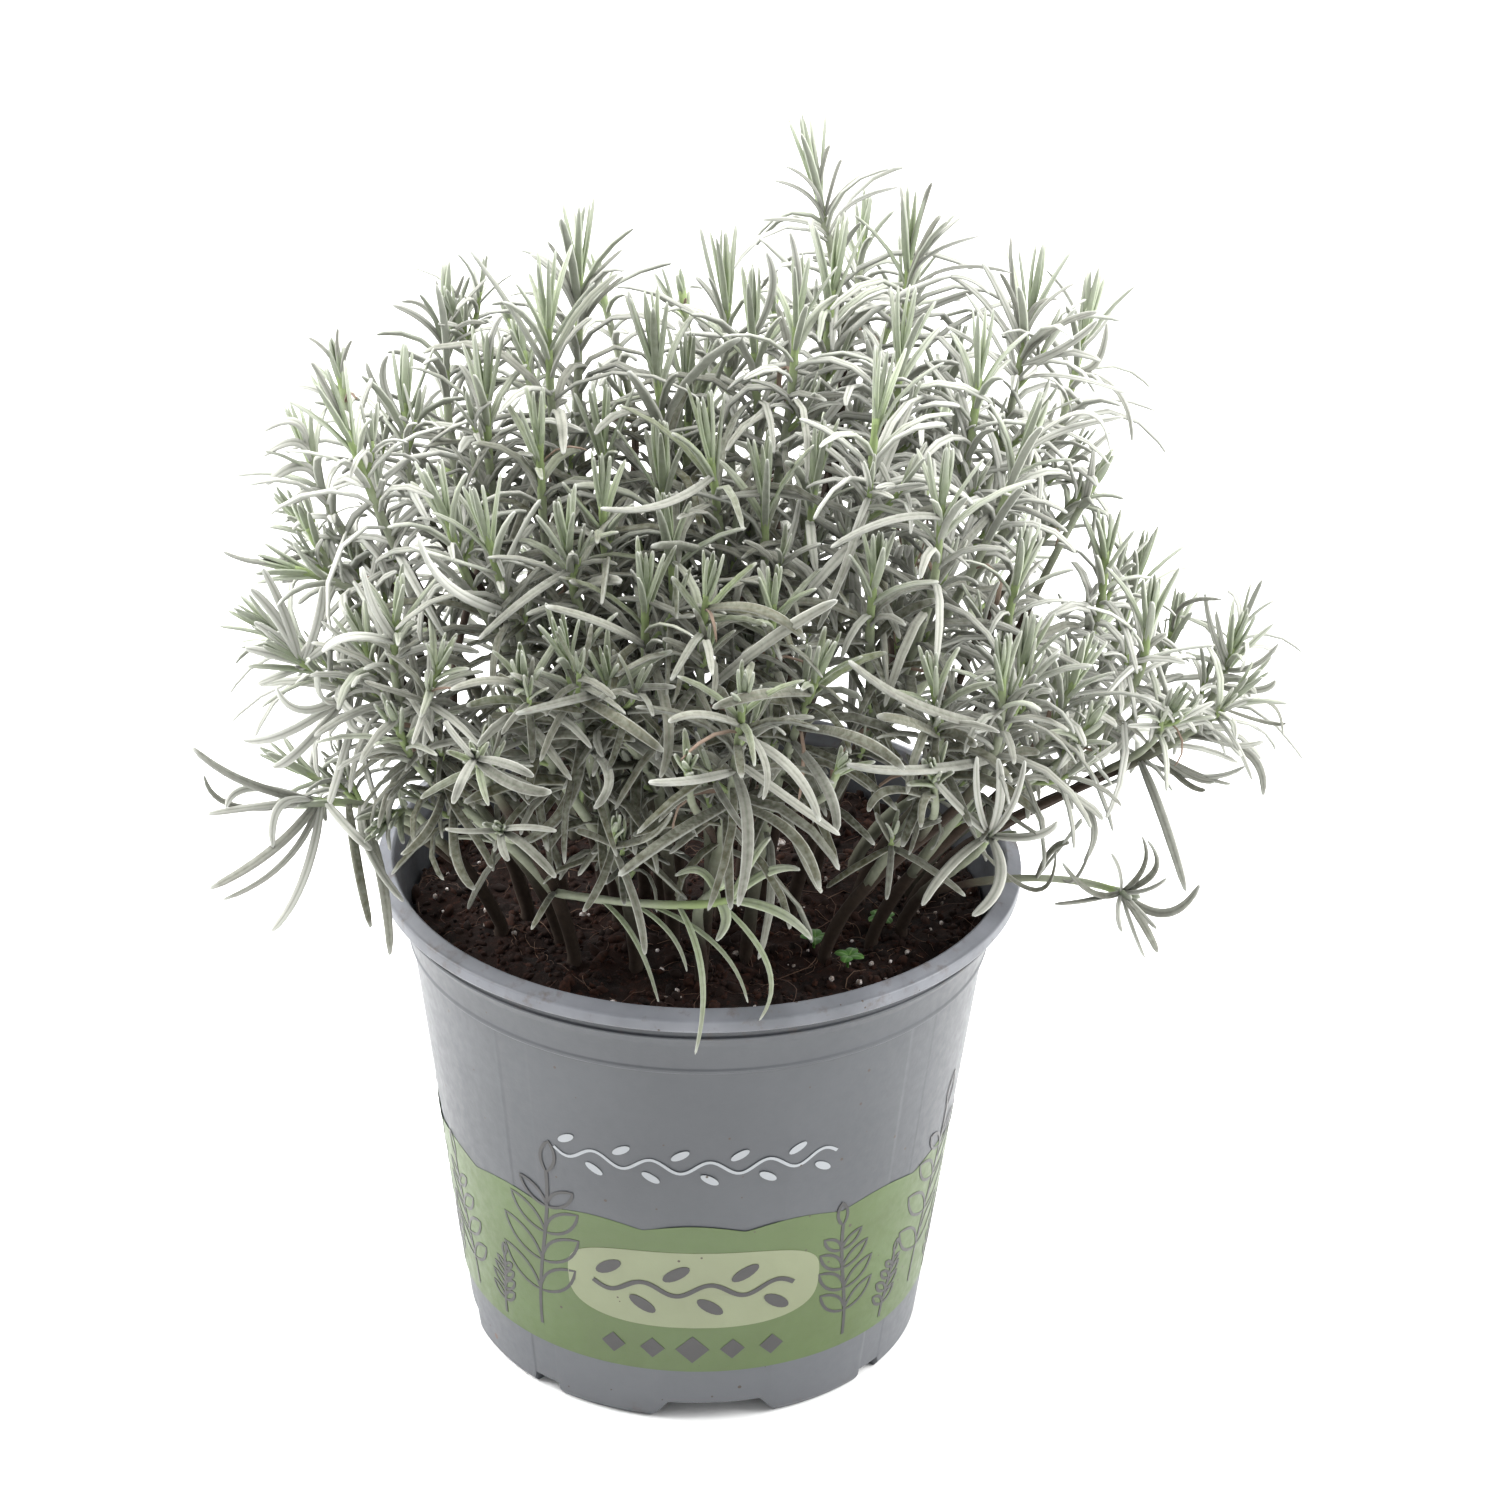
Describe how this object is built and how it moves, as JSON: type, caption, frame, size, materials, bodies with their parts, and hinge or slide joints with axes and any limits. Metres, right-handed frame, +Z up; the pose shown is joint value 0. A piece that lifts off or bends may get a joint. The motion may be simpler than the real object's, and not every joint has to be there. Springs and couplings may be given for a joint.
{
  "type": "potted curry plant",
  "caption": "Bushy curry plant with narrow felted silver-green leaves, in a tapered grey plastic nursery pot filled with soil.",
  "frame": {"origin": "middle of the whole plant's width and depth, at the height of the surface that the pot stands on", "axes": "+Z up; -Y is the front that the picture shows, +X is its right"},
  "size_m": [0.2464, 0.2096, 0.2709],
  "materials": {
    "pot_plastic": "injection-moulded polypropylene, semi-matt, with a flat print in green and pale green",
    "soil": "damp peat mix with fibres and perlite",
    "foliage": "felted silver-green leaves on pale grey-brown woody stems",
    "seedling": "smooth green leaves"
  },
  "bodies": {
    "root": {"pot": "pot_plastic", "soil": "soil", "branch_01": "foliage", "branch_02": "foliage", "branch_03": "foliage", "branch_04": "foliage", "branch_05": "foliage", "branch_06": "foliage", "branch_07": "foliage", "branch_08": "foliage", "branch_09": "foliage", "branch_10": "foliage", "branch_11": "foliage", "branch_12": "foliage", "branch_13": "foliage", "branch_14": "foliage", "branch_15": "foliage", "branch_16": "foliage", "branch_17": "foliage", "branch_18": "foliage", "branch_19": "foliage", "branch_20": "foliage", "branch_21": "foliage", "branch_22": "foliage", "branch_23": "foliage", "branch_24": "foliage", "branch_25": "foliage", "branch_26": "foliage", "branch_27": "foliage", "branch_28": "foliage", "branch_29": "foliage", "branch_30": "foliage", "branch_31": "foliage", "branch_32": "foliage", "branch_33": "foliage", "branch_34": "foliage", "seedling_1": "seedling", "seedling_2": "seedling", "seedling_3": "seedling"}
  },
  "joints": []
}
